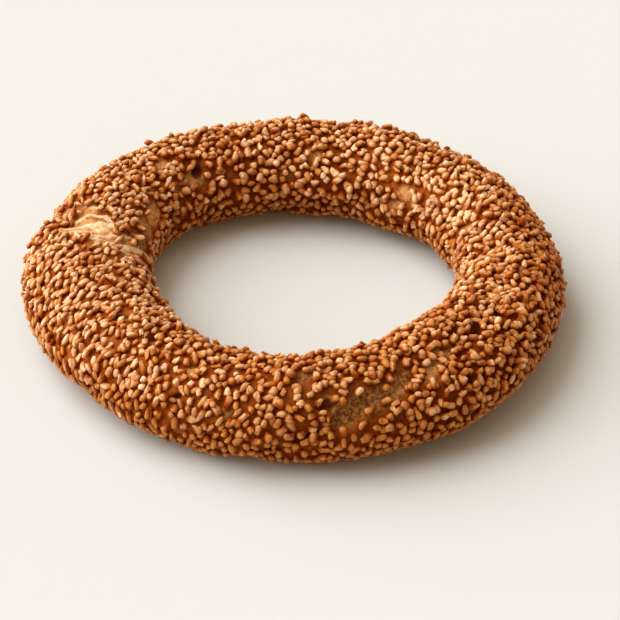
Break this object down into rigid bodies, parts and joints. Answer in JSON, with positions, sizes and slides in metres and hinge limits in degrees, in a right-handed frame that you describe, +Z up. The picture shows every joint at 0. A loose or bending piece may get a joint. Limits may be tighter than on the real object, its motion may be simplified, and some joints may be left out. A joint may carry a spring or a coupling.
{
  "type": "simit",
  "caption": "Simit: a ring of bread wound from strands of dough, baked golden brown all over under a thick coat of toasted sesame seeds.",
  "frame": {"origin": "middle of the ring's footprint, on the surface that it lies on", "axes": "+Z up through the ring's hole; -Y towards the front, as it is first seen; +X to the right"},
  "size_m": [0.151, 0.1486, 0.0248],
  "materials": {
    "crust": "matte",
    "sesame": "satin"
  },
  "bodies": {
    "root": {"bread_ring": "crust"}
  },
  "joints": []
}
